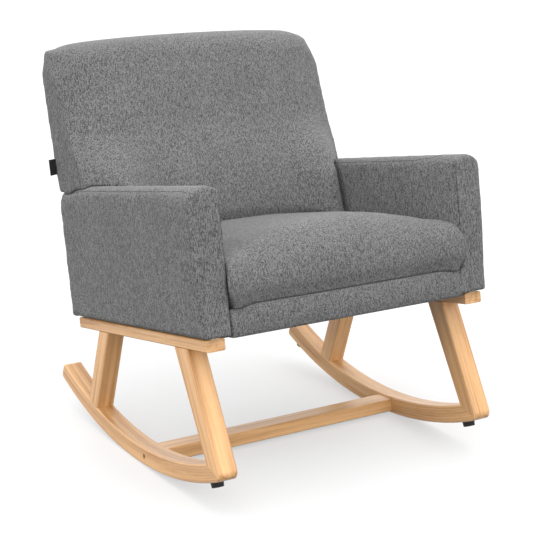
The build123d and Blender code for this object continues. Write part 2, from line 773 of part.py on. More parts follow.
def front_border():
    """The padded strip over the seat's front rail, between the arms."""
    face = arm_front + BORDER_FACE_SETBACK
    rear = seat_frame_front - SOFT_GAP
    top = seat_bottom - SOFT_GAP
    at = [Vector(-seat_half, y, z) for y, z in ((rear, cover_bottom), (face, cover_bottom))]
    at += [Vector(-seat_half, y, z) for y, z in ((face, top), (rear, top))]
    bulge = Vector(-seat_half, face - BORDER_BULGE, (cover_bottom + top) / 2)
    edges = [
        Edge.make_line(at[0], at[1]),
        Edge.make_three_point_arc(at[1], bulge, at[2]),
        Edge.make_line(at[2], at[3]),
        Edge.make_line(at[3], at[0]),
    ]
    return extrude(Face(Wire(edges)), amount=2 * seat_half, dir=(1, 0, 0))


def build_soft_seat():
    export("seat_cushion", seat_cushion())
    export("front_border", front_border())
    deck = box_between(
        (-seat_side_inner, seat_side_inner),
        (seat_frame_front, seat_rear),
        (deck_bottom, deck_bottom + DECK_THICKNESS),
    )
    export("deck_pad", deck)
    cloth = box_between(
        (-timber_inner + SOFT_GAP, timber_inner - SOFT_GAP),
        (seat_frame_front, side_rail_rear),
        (RAIL_TOP - SOFT_GAP - DUST_COVER_THICKNESS, RAIL_TOP - SOFT_GAP),
    )
    export("dust_cover", cloth)


# Back
back_bolt_length = POST_WIDTH + BACK_BOLT_BITE


def back_bolt_seats():
    """Where the heads of the right post's bolts rest, on its inner face."""
    inner = seat_side_inner - POST_WIDTH
    height = SEAT_RAIL_HEIGHT / 2 - COVER_LIFT
    depths = (back_frame_rear - BACK_BOLT_INSET, post_front + BACK_BOLT_INSET)
    return [(BACK_PLACE * Pos(inner, depth, height)).position for depth in depths]


def post_outline(front_gap, foot, top):
    """Side outline of the tapered posts between two heights up the back, grown forward by a gap."""
    taper = math.tan(math.radians(post_taper))
    front_at_foot = post_front + foot * taper - front_gap
    front_at_top = post_front + top * taper - front_gap
    return [(back_frame_rear, foot), (back_frame_rear, top), (front_at_top, top), (front_at_foot, foot)]


def post_board(x_range, foot, top):
    """A board on edge with the posts' tapered outline."""
    return BACK_PLACE * side_prism(post_outline(0, foot, top), *x_range)


def back_post():
    """An upright of the back frame, bolted inside the seat's side rail."""
    board = post_board((seat_side_inner - POST_WIDTH, seat_side_inner), -SEAT_RAIL_HEIGHT, post_top)
    board = board & level_slab(RAIL_TOP, BACK_TOP)
    for seat in back_bolt_seats():
        board = board - bolt_hole(seat, OUTWARD, POST_WIDTH)
    return board


def back_wing():
    """An upright that widens the back over the arm, with the foot that joins it to the post."""
    upright = post_board((wing_half - WING_WIDTH, wing_half), wing_base, post_top)
    return upright + post_board((seat_side_inner, wing_half), wing_base, wing_base + WING_WIDTH)


def back_lower_rail():
    """A tacking rail between the posts, flush with their front edges."""
    inner = seat_side_inner - POST_WIDTH
    height = (LOWER_RAIL_BASE, LOWER_RAIL_BASE + LOWER_RAIL_HEIGHT)
    return post_front_box((-inner, inner), (0, LOWER_RAIL_THICKNESS), height)


def back_straps():
    """Webbing stretched across the front edges of the posts."""
    first = LOWER_RAIL_BASE + LOWER_RAIL_HEIGHT
    pitch = (post_top - first) / STRAP_COUNT
    straps = []
    for index in range(STRAP_COUNT):
        foot = first + index * pitch + (pitch - STRAP_WIDTH) / 2
        span = (-seat_side_inner, seat_side_inner)
        straps.append(post_front_box(span, (-STRAP_THICKNESS, 0), (foot, foot + STRAP_WIDTH)))
    return straps


def build_back_frame():
    export_pair("back_post", back_post())
    export_pair("back_wing", back_wing())
    export("back_top_rail", post_board((-wing_half, wing_half), post_top, frame_top))
    export("back_lower_rail", back_lower_rail())
    export_group("back_webbing", back_straps())
    export_both("back_bolts", [hex_bolt(seat, OUTWARD, back_bolt_length) for seat in back_bolt_seats()])


def back_section(x, crown, drop):
    """One side-view section of the back: leaning rear, rounded top, leaning padded front."""
    top = BACK_TOP - drop
    rear_at_top = back_foot_rear + (top - cover_bottom) * back_slope
    rear_at_foot = back_foot_rear + (back_bottom - cover_bottom) * back_slope
    return rounded_face(
        x,
        [
            (rear_at_foot, back_bottom, 0),
            (rear_at_top, top, BACK_REAR_ROUND),
            (back_face_y(top, crown), top, BACK_FRONT_ROUND),
            (back_face_y(back_bottom, crown), back_bottom, 0),
        ],
    )


def back_pocket(gap):
    """The room behind the back's padding: wide above the arms, narrow between them."""

    def room(half_width, foot, top):
        front = post_outline(STRAP_THICKNESS + gap, foot, top)[2:]
        rear = [(OUTER_BACK_THICKNESS, foot), (OUTER_BACK_THICKNESS, top)]
        return BACK_PLACE * side_prism(rear + front, -half_width, half_width)

    narrow = room(seat_side_inner + gap, -SEAT_RAIL_HEIGHT, wing_base)
    return narrow + room(wing_half + gap, wing_base - gap, frame_top + gap)


def back_cushion():
    """Loft across the chair with rounded top corners, notched over the arms and hollowed for the frame."""
    sections = []
    for x, share in section_places(back_half):
        crown = BACK_CROWN * (1 - share**BACK_CROWN_POWER)
        into_corner = max(0, BACK_CORNER_ROUND - (back_half - abs(x)))
        corner_drop = BACK_CORNER_ROUND - math.sqrt(BACK_CORNER_ROUND**2 - into_corner**2)
        sections.append(back_section(x, crown, BACK_TOP_DROP * share**2 + corner_drop))
    cushion = loft(sections, ruled=True)
    arm_room = box_between(
        (seat_half, back_half + ARM_THICKNESS),
        (arm_front, arm_rear + ARM_THICKNESS + BACK_DEPTH_AT_FOOT),
        (rail_bottom, ARM_TOP + SOFT_GAP),
    )
    for notch in both_sides(arm_room).values():
        cushion = cushion - notch
    return cushion - back_pocket(SOFT_GAP)


def outer_back():
    """The covered panel that closes the rear, shaped like the frame that it covers."""
    depth = (-OUTER_BACK_THICKNESS, 0)
    narrow = back_box((-seat_side_inner, seat_side_inner), depth, (0, wing_base))
    return narrow + back_box((-wing_half, wing_half), depth, (wing_base, frame_top))


def side_tab():
    """A bare folded tab standing out of the back's left side near its rear edge."""
    rear = back_foot_rear + (TAB_MIDDLE - cover_bottom) * back_slope - TAB_FROM_REAR
    return box_between(
        (-back_half - TAB_REACH, -back_half),
        (rear - TAB_THICKNESS, rear),
        (TAB_MIDDLE - TAB_HEIGHT / 2, TAB_MIDDLE + TAB_HEIGHT / 2),
    )


def build_soft_back():
    export("back_cushion", back_cushion())
    export("outer_back", outer_back())
    export("side_tab", side_tab())


build_side_frames()
build_stretcher()
build_stops()
build_arms()
build_seat_frame()
build_soft_seat()
build_back_frame()
build_soft_back()
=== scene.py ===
import math

import bmesh
import bpy
import numpy as np
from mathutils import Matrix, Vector
from mathutils.bvhtree import BVHTree
from mathutils.kdtree import KDTree


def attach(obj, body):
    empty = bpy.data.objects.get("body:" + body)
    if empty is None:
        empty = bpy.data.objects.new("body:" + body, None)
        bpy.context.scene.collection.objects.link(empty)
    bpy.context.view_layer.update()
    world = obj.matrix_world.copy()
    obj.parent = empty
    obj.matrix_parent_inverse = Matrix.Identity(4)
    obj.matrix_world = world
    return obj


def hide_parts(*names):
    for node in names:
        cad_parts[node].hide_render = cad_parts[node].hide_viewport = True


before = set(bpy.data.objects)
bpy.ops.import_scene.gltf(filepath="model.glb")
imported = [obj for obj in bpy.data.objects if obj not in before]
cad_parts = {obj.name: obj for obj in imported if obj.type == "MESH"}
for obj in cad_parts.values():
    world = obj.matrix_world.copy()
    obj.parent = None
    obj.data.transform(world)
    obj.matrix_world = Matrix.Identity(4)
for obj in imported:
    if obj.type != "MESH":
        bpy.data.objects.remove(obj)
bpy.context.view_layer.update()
scene = bpy.context.scene
MM = 0.001
OUTWARD = {"left": -1.0, "right": 1.0}

# The chair stands leaned back on its rockers; sizes are easier to give in its own upright frame
REST_LEAN = math.radians(10.25)
UPRIGHT_TO_ROW = np.array([
    [1.0, 0.0, 0.0],
    [0.0, math.cos(REST_LEAN), math.sin(REST_LEAN)],
    [0.0, -math.sin(REST_LEAN), math.cos(REST_LEAN)],
])


def to_row(points):
    """Turns points of the upright chair into the row frame."""
    return np.asarray(points, float) @ UPRIGHT_TO_ROW.T


def to_upright(points):
    """Turns points of the row frame into the upright chair's frame."""
    return np.asarray(points, float) @ UPRIGHT_TO_ROW


def coordinates(mesh):
    """The vertices of a mesh as an array with one row each."""
    places = np.empty(len(mesh.vertices) * 3)
    mesh.vertices.foreach_get("co", places)
    return places.reshape(-1, 3)


def normals(mesh):
    """The vertex normals of a mesh as an array with one row each."""
    directions = np.empty(len(mesh.vertices) * 3)
    mesh.vertices.foreach_get("normal", directions)
    return directions.reshape(-1, 3)


def set_coordinates(mesh, places):
    """Moves the vertices of a mesh to the given places."""
    mesh.vertices.foreach_set("co", np.ascontiguousarray(places).ravel())
    mesh.update()


def upright_box(node):
    """Lowest and highest corner of a CAD node in the upright chair's frame."""
    points = to_upright(coordinates(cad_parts[node].data))
    return points.min(axis=0), points.max(axis=0)


def rising(value, start, length):
    """Rises softly from 0 to 1 over a length that begins at a start."""
    share = np.clip((value - start) / length, 0.0, 1.0)
    return share * share * (3.0 - 2.0 * share)


def falling(value, end, length):
    """Falls softly from 1 to 0 over a length that stops at an end."""
    return rising(-value, -end, length)


# Mesh helpers

def new_piece(name, mesh):
    """Puts a mesh into the scene as a piece that moves with the chair."""
    piece = bpy.data.objects.new(name, mesh)
    scene.collection.objects.link(piece)
    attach(piece, "root")
    return piece


def give_material(mesh, material):
    """Makes a material the only one of a mesh."""
    mesh.materials.clear()
    mesh.materials.append(material)


def copy_of_node(name, node):
    """A new piece with a welded copy of a CAD node's mesh."""
    weld_distance = 0.01 * MM
    builder = bmesh.new()
    builder.from_mesh(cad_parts[node].data)
    bmesh.ops.remove_doubles(builder, verts=builder.verts, dist=weld_distance)
    mesh = bpy.data.meshes.new(name)
    builder.to_mesh(mesh)
    builder.free()
    return new_piece(name, mesh)


def apply_modifiers(piece):
    """Replaces a piece's mesh by what its modifiers make of it."""
    bpy.context.view_layer.update()
    graph = bpy.context.evaluated_depsgraph_get()
    mesh = bpy.data.meshes.new_from_object(piece.evaluated_get(graph))
    mesh.name = piece.name
    piece.modifiers.clear()
    piece.data = mesh


def remesh(piece, voxel):
    """Gives a piece an even mesh of small squares."""
    modifier = piece.modifiers.new("remesh", "REMESH")
    modifier.mode = "VOXEL"
    modifier.voxel_size = voxel
    apply_modifiers(piece)


def remesh_crisp(piece, depth):
    """Gives a piece an even mesh that keeps its edges."""
    modifier = piece.modifiers.new("remesh", "REMESH")
    modifier.mode = "SHARP"
    modifier.octree_depth = depth
    modifier.scale = 0.95
    modifier.sharpness = 1.0
    modifier.use_remove_disconnected = False
    apply_modifiers(piece)


def edge_distance(piece):
    """How far each vertex lies from the nearest edge where the surface turns sharply."""
    sharp_turn = math.radians(38.0)
    builder = bmesh.new()
    builder.from_mesh(piece.data)
    sharp = [edge for edge in builder.edges if edge.calc_face_angle(0.0) > sharp_turn]
    corners = [corner.co for edge in sharp for corner in edge.verts]
    tree = KDTree(len(corners))
    for index, corner in enumerate(corners):
        tree.insert(corner, index)
    tree.balance()
    distances = np.array([tree.find(vertex.co)[2] for vertex in builder.verts])
    builder.free()
    return distances


def tighter_edge(first, second, radius, power):
    """Depths below two faces that meet in a round edge, moved out so that the edge is squarer."""
    smallest = 1e-6
    across = np.clip(1.0 - first / radius, 0.0, None)
    along = np.clip(1.0 - second / radius, 0.0, None)
    inside = (across > 0.0) & (along > 0.0)
    reach = np.hypot(across, along)
    square_reach = np.maximum((across ** power + along ** power) ** (1.0 / power), smallest)
    stretch = np.where(inside, reach / square_reach, 1.0)
    new_first = np.maximum(radius * (1.0 - across * stretch), np.minimum(first, 0.0))
    new_second = np.maximum(radius * (1.0 - along * stretch), np.minimum(second, 0.0))
    return np.where(inside, new_first, first), np.where(inside, new_second, second)


def reshape(piece, form):
    """Moves a piece's vertices by a function of their places in the upright frame."""
    set_coordinates(piece.data, to_row(form(to_upright(coordinates(piece.data)))))


def relax(piece, free, rounds):
    """Evens out the free share of each vertex towards its neighbours."""
    pace = 0.5
    mesh = piece.data
    places = coordinates(mesh)
    ends = np.empty(len(mesh.edges) * 2, int)
    mesh.edges.foreach_get("vertices", ends)
    first, second = ends.reshape(-1, 2).T
    count = np.bincount(first, minlength=len(places)) + np.bincount(second, minlength=len(places))
    count = np.maximum(count, 1)[:, None]
    for _ in range(rounds):
        total = np.zeros_like(places)
        np.add.at(total, first, places[second])
        np.add.at(total, second, places[first])
        places += pace * free[:, None] * (total / count - places)
    set_coordinates(mesh, places)


def shrink(piece, free, depth):
    """Draws the free share of a piece in along its normals."""
    mesh = piece.data
    set_coordinates(mesh, coordinates(mesh) - depth * free[:, None] * normals(mesh))


def swell(piece, free, limit):
    """Blows a padded piece up with a short cloth simulation; held points stay, none moves past the limit."""
    pressure, quality, steps = 4.0, 4, 20
    shortest = 1e-9
    start = coordinates(piece.data)
    group = piece.vertex_groups.new(name="held")
    for index in np.flatnonzero(free < 1.0):
        group.add([int(index)], float(1.0 - free[index]), "REPLACE")
    cloth = piece.modifiers.new("swell", "CLOTH")
    cloth.settings.use_pressure = True
    cloth.settings.uniform_pressure_force = pressure
    cloth.settings.effector_weights.gravity = 0.0
    cloth.settings.quality = quality
    cloth.settings.vertex_group_mass = group.name
    cloth.point_cache.frame_start = 1
    cloth.point_cache.frame_end = steps
    for step in range(1, steps + 1):
        scene.frame_set(step)
    graph = bpy.context.evaluated_depsgraph_get()
    shift = coordinates(piece.evaluated_get(graph).data) - start
    piece.modifiers.remove(cloth)
    piece.vertex_groups.remove(group)
    scene.frame_set(1)
    length = np.maximum(np.linalg.norm(shift, axis=1), shortest)
    kept = limit * np.tanh(length / limit) / length
    set_coordinates(piece.data, start + shift * kept[:, None])


def fill_out(piece, node, free):
    """Brings the free share of a padded piece out to its CAD solid wherever it came out smaller."""
    solid = BVHTree.FromObject(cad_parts[node], bpy.context.evaluated_depsgraph_get())
    places = coordinates(piece.data)
    for index in np.flatnonzero(free > 0.0):
        place = Vector(places[index])
        nearest, direction, _, _ = solid.find_nearest(place)
        inward = (nearest - place).dot(direction)
        if inward > 0.0:
            places[index] += free[index] * np.array(nearest - place)
    set_coordinates(piece.data, places)


def keep_inside(piece, low, high):
    """Flattens a piece where it would press out of its own space, given in the upright frame."""
    places = to_upright(coordinates(piece.data))
    set_coordinates(piece.data, to_row(np.clip(places, low, high)))


def subdivide(piece):
    """Adds one smooth subdivision to a piece."""
    modifier = piece.modifiers.new("subdivide", "SUBSURF")
    modifier.levels = 1
    modifier.render_levels = 1
    apply_modifiers(piece)


def shade_smooth(piece):
    """Shades a piece as one rounded surface."""
    piece.data.polygons.foreach_set("use_smooth", [True] * len(piece.data.polygons))
    piece.data.update()


def resampled(points, spacing):
    """Points at an even spacing along a line of straight runs."""
    points = np.asarray(points, float)
    runs = np.linalg.norm(np.diff(points, axis=0), axis=1)
    along = np.concatenate([[0.0], np.cumsum(runs)])
    count = max(2, int(along[-1] / spacing) + 1)
    places = np.linspace(0.0, along[-1], count)
    return np.stack([np.interp(places, along, points[:, axis]) for axis in range(3)], axis=1)


def laid_on(piece, points):
    """The places on the surface of a piece that lie nearest to points of the row frame."""
    tree = BVHTree.FromObject(piece, bpy.context.evaluated_depsgraph_get())
    return np.array([tree.find_nearest(Vector(point))[0] for point in points])


def crease(piece, line, depth, width):
    """Draws a piece in along a line on its surface, as a sewn seam does."""
    mesh = piece.data
    places = coordinates(mesh)
    reach = 3.0 * width
    near = np.all((places > line.min(axis=0) - reach) & (places < line.max(axis=0) + reach), axis=1)
    index = np.flatnonzero(near)
    apart = np.linalg.norm(places[index][:, None, :] - line[None, :, :], axis=2).min(axis=1)
    depth_here = depth * np.exp(-((apart / width) ** 2))
    places[index] -= depth_here[:, None] * normals(mesh)[index]
    set_coordinates(mesh, places)


def thread(name, piece, line, radius, material):
    """A round thread or welt laid along a line on a piece."""
    curve = bpy.data.curves.new(name, "CURVE")
    curve.dimensions = "3D"
    curve.bevel_depth = radius
    curve.bevel_resolution = 2
    curve.use_fill_caps = True
    laid = laid_on(piece, line)
    spline = curve.splines.new("POLY")
    spline.points.add(len(laid) - 1)
    for point, place in zip(spline.points, laid):
        point.co = (*place, 1.0)
    guide = bpy.data.objects.new(name, curve)
    mesh = bpy.data.meshes.new_from_object(guide)
    bpy.data.objects.remove(guide)
    strand = new_piece(name, mesh)
    shade_smooth(strand)
    give_material(mesh, material)


# Material helpers

def put(node, **values):
    """Sets sockets of a shader node by their names, with _ for a space."""
    for name, value in values.items():
        node.inputs[name.replace("_", " ")].default_value = value


class Shader:
    """A node material under construction."""

    def __init__(self, name):
        self.material = bpy.data.materials.new(name)
        self.material.use_nodes = True
        self.tree = self.material.node_tree
        self.surface = self.tree.nodes["Principled BSDF"]

    def node(self, kind, **settings):
        made = self.tree.nodes.new(kind)
        for setting, value in settings.items():
            setattr(made, setting, value)
        return made

    def link(self, source, target):
        self.tree.links.new(source, target)

    def drive(self, name, source):
        """Links a varying value to one of the surface's own sockets."""
        self.link(source, self.surface.inputs[name])

    def set(self, **values):
        put(self.surface, **values)

    def place(self):
        """Object coordinates, which are the row frame's metres."""
        return self.node("ShaderNodeTexCoord").outputs["Object"]

    def turned(self, source, turn_x=0.0, scale=(1.0, 1.0, 1.0)):
        mapping = self.node("ShaderNodeMapping")
        put(mapping, Rotation=(turn_x, 0.0, 0.0), Scale=scale)
        self.link(source, mapping.inputs["Vector"])
        return mapping.outputs["Vector"]

    def noise(self, source, scale=1.0, detail=2.0, roughness=0.5, distortion=0.0):
        noise = self.node("ShaderNodeTexNoise")
        put(noise, Scale=scale, Detail=detail, Roughness=roughness, Distortion=distortion)
        self.link(source, noise.inputs["Vector"])
        return noise.outputs["Fac"]

    def math(self, operation, first, second=0.0):
        made = self.node("ShaderNodeMath", operation=operation)
        for socket, value in zip(made.inputs, (first, second)):
            if isinstance(value, (int, float)):
                socket.default_value = value
            else:
                self.link(value, socket)
        return made.outputs[0]

    def ramp(self, source, *stops):
        made = self.node("ShaderNodeValToRGB")
        elements = made.color_ramp.elements
        while len(elements) < len(stops):
            elements.new(0.5)
        for element, (position, colour) in zip(elements, stops):
            element.position = position
            element.color = (*colour, 1.0)
        self.link(source, made.inputs["Fac"])
        return made.outputs["Color"]

    def spread(self, source, values, results):
        """Turns a range of values into a range of results."""
        made = self.node("ShaderNodeMapRange")
        put(made, From_Min=values[0], From_Max=values[1], To_Min=results[0], To_Max=results[1])
        self.link(source, made.inputs["Value"])
        return made.outputs["Result"]

    def tinted(self, colour, share):
        """Darkens or lightens a colour by a number that varies over the surface."""
        made = self.node("ShaderNodeVectorMath", operation="SCALE")
        self.link(colour, made.inputs[0])
        self.link(share, made.inputs["Scale"])
        return made.outputs["Vector"]

    def bump(self, height, strength, distance):
        made = self.node("ShaderNodeBump")
        put(made, Strength=strength, Distance=distance)
        self.link(height, made.inputs["Height"])
        self.drive("Normal", made.outputs["Normal"])


# Each kind of yarn: how fine it is across, through and up the cloth, and its share in the colour
YARNS = {
    "warp": ((1000.0, 440.0, 270.0), 0.34),
    "weft": ((210.0, 150.0, 800.0), 0.16),
    "fleck": ((1050.0, 470.0, 800.0), 0.26),
    "streak": ((760.0, 340.0, 95.0), 0.24),
}
DARK_YARN, LIGHT_YARN = 0.437, 0.563

# The range that holds most values of a noise
MIDDLE_OF_NOISE = (0.3, 0.7)


def heather_fabric(name, dark, light, sheen):
    """Plain-woven cloth of mixed light and dark yarns; the warp runs up the chair in short streaks."""
    shader = Shader(name)
    place = shader.turned(shader.place(), REST_LEAN)
    yarns = {}
    cloth = None
    for kind, (fineness, share) in YARNS.items():
        yarns[kind] = shader.noise(shader.turned(place, scale=fineness), detail=1.0)
        layer = shader.math("MULTIPLY", yarns[kind], share)
        cloth = layer if cloth is None else shader.math("ADD", cloth, layer)
    patches = shader.noise(place, scale=9.0, detail=3.0)
    colour = shader.ramp(cloth, (DARK_YARN, dark), (LIGHT_YARN, light))
    shader.drive("Base Color", shader.tinted(colour, shader.spread(patches, MIDDLE_OF_NOISE, (0.94, 1.06))))
    shader.drive("Roughness", shader.spread(yarns["fleck"], MIDDLE_OF_NOISE, (0.82, 0.98)))
    shader.set(Sheen_Weight=sheen, Sheen_Roughness=0.6, Specular_IOR_Level=0.2)
    shader.bump(cloth, strength=0.35, distance=1.2 * MM)
    return shader.material


def growth_stripes(shader, along, fineness):
    """A shade that follows the growth rings where they run out along a timber."""
    wave = shader.node("ShaderNodeTexWave", bands_direction="Z", wave_profile="SIN")
    put(wave, Scale=fineness, Distortion=1.2, Detail=2.0, Detail_Scale=0.6)
    shader.link(shader.turned(along, scale=(1.0, 0.04, 1.0)), wave.inputs["Vector"])
    return shader.spread(wave.outputs["Fac"], values=(0.0, 0.35), results=(0.86, 1.0))


def wood(name, colours, grain, stripes=0.0):
    """Lacquered timber: grain gives coordinates whose second runs along it."""
    shader = Shader(name)
    light, dark = colours
    light_share = 0.65
    middle = tuple((1.0 - light_share) * d + light_share * b for d, b in zip(dark, light))
    along = grain(shader)
    stretched = shader.turned(along, scale=(95.0, 2.6, 95.0))
    figure = shader.noise(stretched, detail=3.0, roughness=0.55, distortion=0.5)
    pores = shader.noise(shader.turned(along, scale=(900.0, 36.0, 900.0)), detail=1.0)
    broad = shader.noise(shader.turned(along, scale=(22.0, 1.4, 22.0)), detail=2.0)
    colour = shader.ramp(figure, (0.30, dark), (0.47, middle), (0.62, light))
    pore_shade = shader.spread(pores, values=(0.28, 0.5), results=(0.88, 1.0))
    shade = shader.math("MULTIPLY", pore_shade, shader.spread(broad, MIDDLE_OF_NOISE, (0.92, 1.07)))
    if stripes:
        shade = shader.math("MULTIPLY", shade, growth_stripes(shader, along, stripes))
    relief = shader.math("ADD", pores, shader.math("MULTIPLY", figure, 0.5))
    shader.drive("Base Color", shader.tinted(colour, shade))
    shader.drive("Roughness", shader.spread(pores, values=(0.3, 0.6), results=(0.52, 0.4)))
    shader.set(Specular_IOR_Level=0.5, Coat_Weight=0.25, Coat_Roughness=0.3)
    shader.bump(relief, strength=0.18, distance=0.4 * MM)
    return shader.material


ROCKER_CENTRE_HEIGHT = 868 * MM
FRONT_LEG_LEAN = math.radians(19.5)
REAR_LEG_LEAN = math.radians(30.0)
UPRIGHT = math.radians(90.0)


def straight_grain(angle):
    """Grain along a line in the side view, at an angle from the front-to-back line."""
    return lambda shader: shader.turned(shader.place(), -angle)


def cross_grain(shader):
    """Grain along a timber that lies from side to side."""
    parts = shader.node("ShaderNodeSeparateXYZ")
    joined = shader.node("ShaderNodeCombineXYZ")
    shader.link(shader.place(), parts.inputs[0])
    for source, target in (("Y", "X"), ("X", "Y"), ("Z", "Z")):
        shader.link(parts.outputs[source], joined.inputs[target])
    return joined.outputs[0]


def curved_grain(shader):
    """Grain that follows the rockers' arc."""
    parts = shader.node("ShaderNodeSeparateXYZ")
    joined = shader.node("ShaderNodeCombineXYZ")
    shader.link(shader.place(), parts.inputs[0])
    behind = parts.outputs["Y"]
    below = shader.math("SUBTRACT", ROCKER_CENTRE_HEIGHT, parts.outputs["Z"])
    squares = shader.math("ADD", shader.math("POWER", behind, 2.0), shader.math("POWER", below, 2.0))
    shader.link(parts.outputs["X"], joined.inputs["X"])
    shader.link(shader.math("ARCTAN2", behind, below), joined.inputs["Y"])
    shader.link(shader.math("SQRT", squares), joined.inputs["Z"])
    return joined.outputs[0]


def rubber(name, dark, light):
    """Moulded rubber."""
    shader = Shader(name)
    grain = shader.noise(shader.place(), scale=900.0, detail=2.0)
    shader.drive("Base Color", shader.ramp(grain, *zip(MIDDLE_OF_NOISE, (dark, light))))
    shader.drive("Roughness", shader.spread(grain, MIDDLE_OF_NOISE, (0.42, 0.6)))
    shader.set(Specular_IOR_Level=0.25)
    shader.bump(grain, strength=0.2, distance=0.3 * MM)
    return shader.material


def steel(name, dark, light, metallic):
    """Plated or blackened steel with a fine uneven finish."""
    shader = Shader(name)
    finish = shader.noise(shader.turned(shader.place(), scale=(600.0, 600.0, 140.0)), detail=3.0)
    shader.drive("Base Color", shader.ramp(finish, *zip(MIDDLE_OF_NOISE, (dark, light))))
    shader.drive("Roughness", shader.spread(finish, MIDDLE_OF_NOISE, (0.28, 0.45)))
    shader.set(Metallic=metallic)
    shader.bump(finish, strength=0.1, distance=0.2 * MM)
    return shader.material


# Materials, timbers with their light and dark colour

BEECH = ((0.73, 0.42, 0.185), (0.43, 0.19, 0.052))
FRAME_TIMBER = ((0.66, 0.47, 0.27), (0.42, 0.26, 0.12))
ALONG_RAIL = straight_grain(-REST_LEAN)
ALONG_FRONT_LEG = straight_grain(UPRIGHT - FRONT_LEG_LEAN - REST_LEAN)
ALONG_REAR_LEG = straight_grain(UPRIGHT + REAR_LEG_LEAN - REST_LEAN)

cover_cloth = heather_fabric("cover_cloth", (0.047, 0.047, 0.047), (0.200, 0.202, 0.201), sheen=0.10)
lining_cloth = heather_fabric("lining_cloth", (0.012, 0.012, 0.013), (0.045, 0.046, 0.048), sheen=0.05)
tab_cloth = heather_fabric("tab_cloth", (0.006, 0.006, 0.007), (0.022, 0.022, 0.024), sheen=0.05)
# The seam thread is a real thread, but its dark colour is painted shade: it draws the dark line of a sewn
# dip.
thread_and_painted_seam_shade = heather_fabric("thread_and_painted_seam_shade", (0.020, 0.020, 0.021), (0.070, 0.072, 0.074), sheen=0.0)
rail_wood = wood("rail_wood", BEECH, ALONG_RAIL, stripes=55.0)
front_leg_wood = wood("front_leg_wood", BEECH, ALONG_FRONT_LEG)
rear_leg_wood = wood("rear_leg_wood", BEECH, ALONG_REAR_LEG)
rocker_wood = wood("rocker_wood", BEECH, curved_grain, stripes=60.0)
stretcher_wood = wood("stretcher_wood", BEECH, cross_grain)
frame_wood = wood("frame_wood", FRAME_TIMBER, ALONG_RAIL)
cross_frame_wood = wood("cross_frame_wood", FRAME_TIMBER, cross_grain)
upright_frame_wood = wood("upright_frame_wood", FRAME_TIMBER, straight_grain(UPRIGHT))
stop_rubber = rubber("stop_rubber", (0.003, 0.003, 0.003), (0.008, 0.008, 0.008))
zinc_steel = steel("zinc_steel", (0.50, 0.50, 0.52), (0.68, 0.68, 0.70), metallic=1.0)
black_steel = steel("black_steel", (0.003, 0.003, 0.003), (0.009, 0.009, 0.009), metallic=0.0)

PAIRED_NODE_MATERIALS = {
    "seat_rail": rail_wood,
    "front_leg": front_leg_wood,
    "rear_leg": rear_leg_wood,
    "rocker": rocker_wood,
    "arm_panel": frame_wood,
    "back_post": upright_frame_wood,
    "back_wing": upright_frame_wood,
    "seat_side_rail": frame_wood,
}
SINGLE_NODES = (
    (stretcher_wood, ["stretcher"]),
    (cross_frame_wood, ["back_lower_rail", "back_top_rail"]),
    (cross_frame_wood, ["seat_front_rail", "seat_rear_rail", "corner_blocks"]),
    (upright_frame_wood, ["leg_tenons"]),
    (stop_rubber, ["rubber_stops"]),
    (zinc_steel, ["arm_bolts", "back_bolts", "seat_side_bolts", "stretcher_nuts"]),
    (zinc_steel, ["seat_springs", "spring_clips"]),
    (black_steel, ["stretcher_bolts"]),
)
for part, material in PAIRED_NODE_MATERIALS.items():
    for side in OUTWARD:
        give_material(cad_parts[f"{side}_{part}"].data, material)
for material, nodes in SINGLE_NODES:
    for node in nodes:
        give_material(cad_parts[node].data, material)


# Padded pieces

OCTREE_DEPTH = 6
SEAM_RADIUS = 0.5 * MM
BACK_LEAN = math.radians(5.5)
POCKET_FOOT_DEPTH = 112 * MM
POCKET_TOP_DEPTH = 58 * MM
ARM_REAR_REACH = 12 * MM
ARM_FOOT_WIDTH = {"left": 0.0, "right": 10 * MM}


def finish_cloth(piece, node, material):
    """Shades a cloth piece smooth, gives it its material and hides the CAD solid that it stands for."""
    shade_smooth(piece)
    give_material(piece.data, material)
    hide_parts(node)


def finish_padding(piece, node, material=cover_cloth):
    """Gives a padded piece its cloth and hides the CAD solid that it stands for."""
    finish_cloth(piece, node, material)


def plump(piece, node, held, depth, limit):
    """Pads a piece out from its CAD solid: its sewn edges stay crisp and the cloth between them swells."""
    free = np.where(held, 0.0, rising(edge_distance(piece), start=3 * MM, length=14 * MM))
    relax(piece, free, rounds=3)
    shrink(piece, free, depth)
    swell(piece, free, limit)
    fill_out(piece, node, free)
    relax(piece, free, rounds=2)


def sew(name, piece, points, depth, width):
    """A seam along a line: the cloth drawn in, and a dark thread in the dip whose colour paints the seam's
    shade as a dark line.
    """
    line = laid_on(piece, to_row(resampled(points, spacing=4 * MM)))
    crease(piece, line, depth, width)
    thread(name, piece, line, SEAM_RADIUS, thread_and_painted_seam_shade)


def in_box(places, low, high):
    """Which points lie inside a box."""
    return np.all((places > low) & (places < high), axis=1)


# The seat and the band under it

def seam_rise(x):
    """How far the seam under the seat stands above its straight line, dipping towards both ends."""
    rise, sag = 3 * MM, 3.5 * MM
    return rise - sag * rising(np.abs(x), start=205 * MM, length=50 * MM)


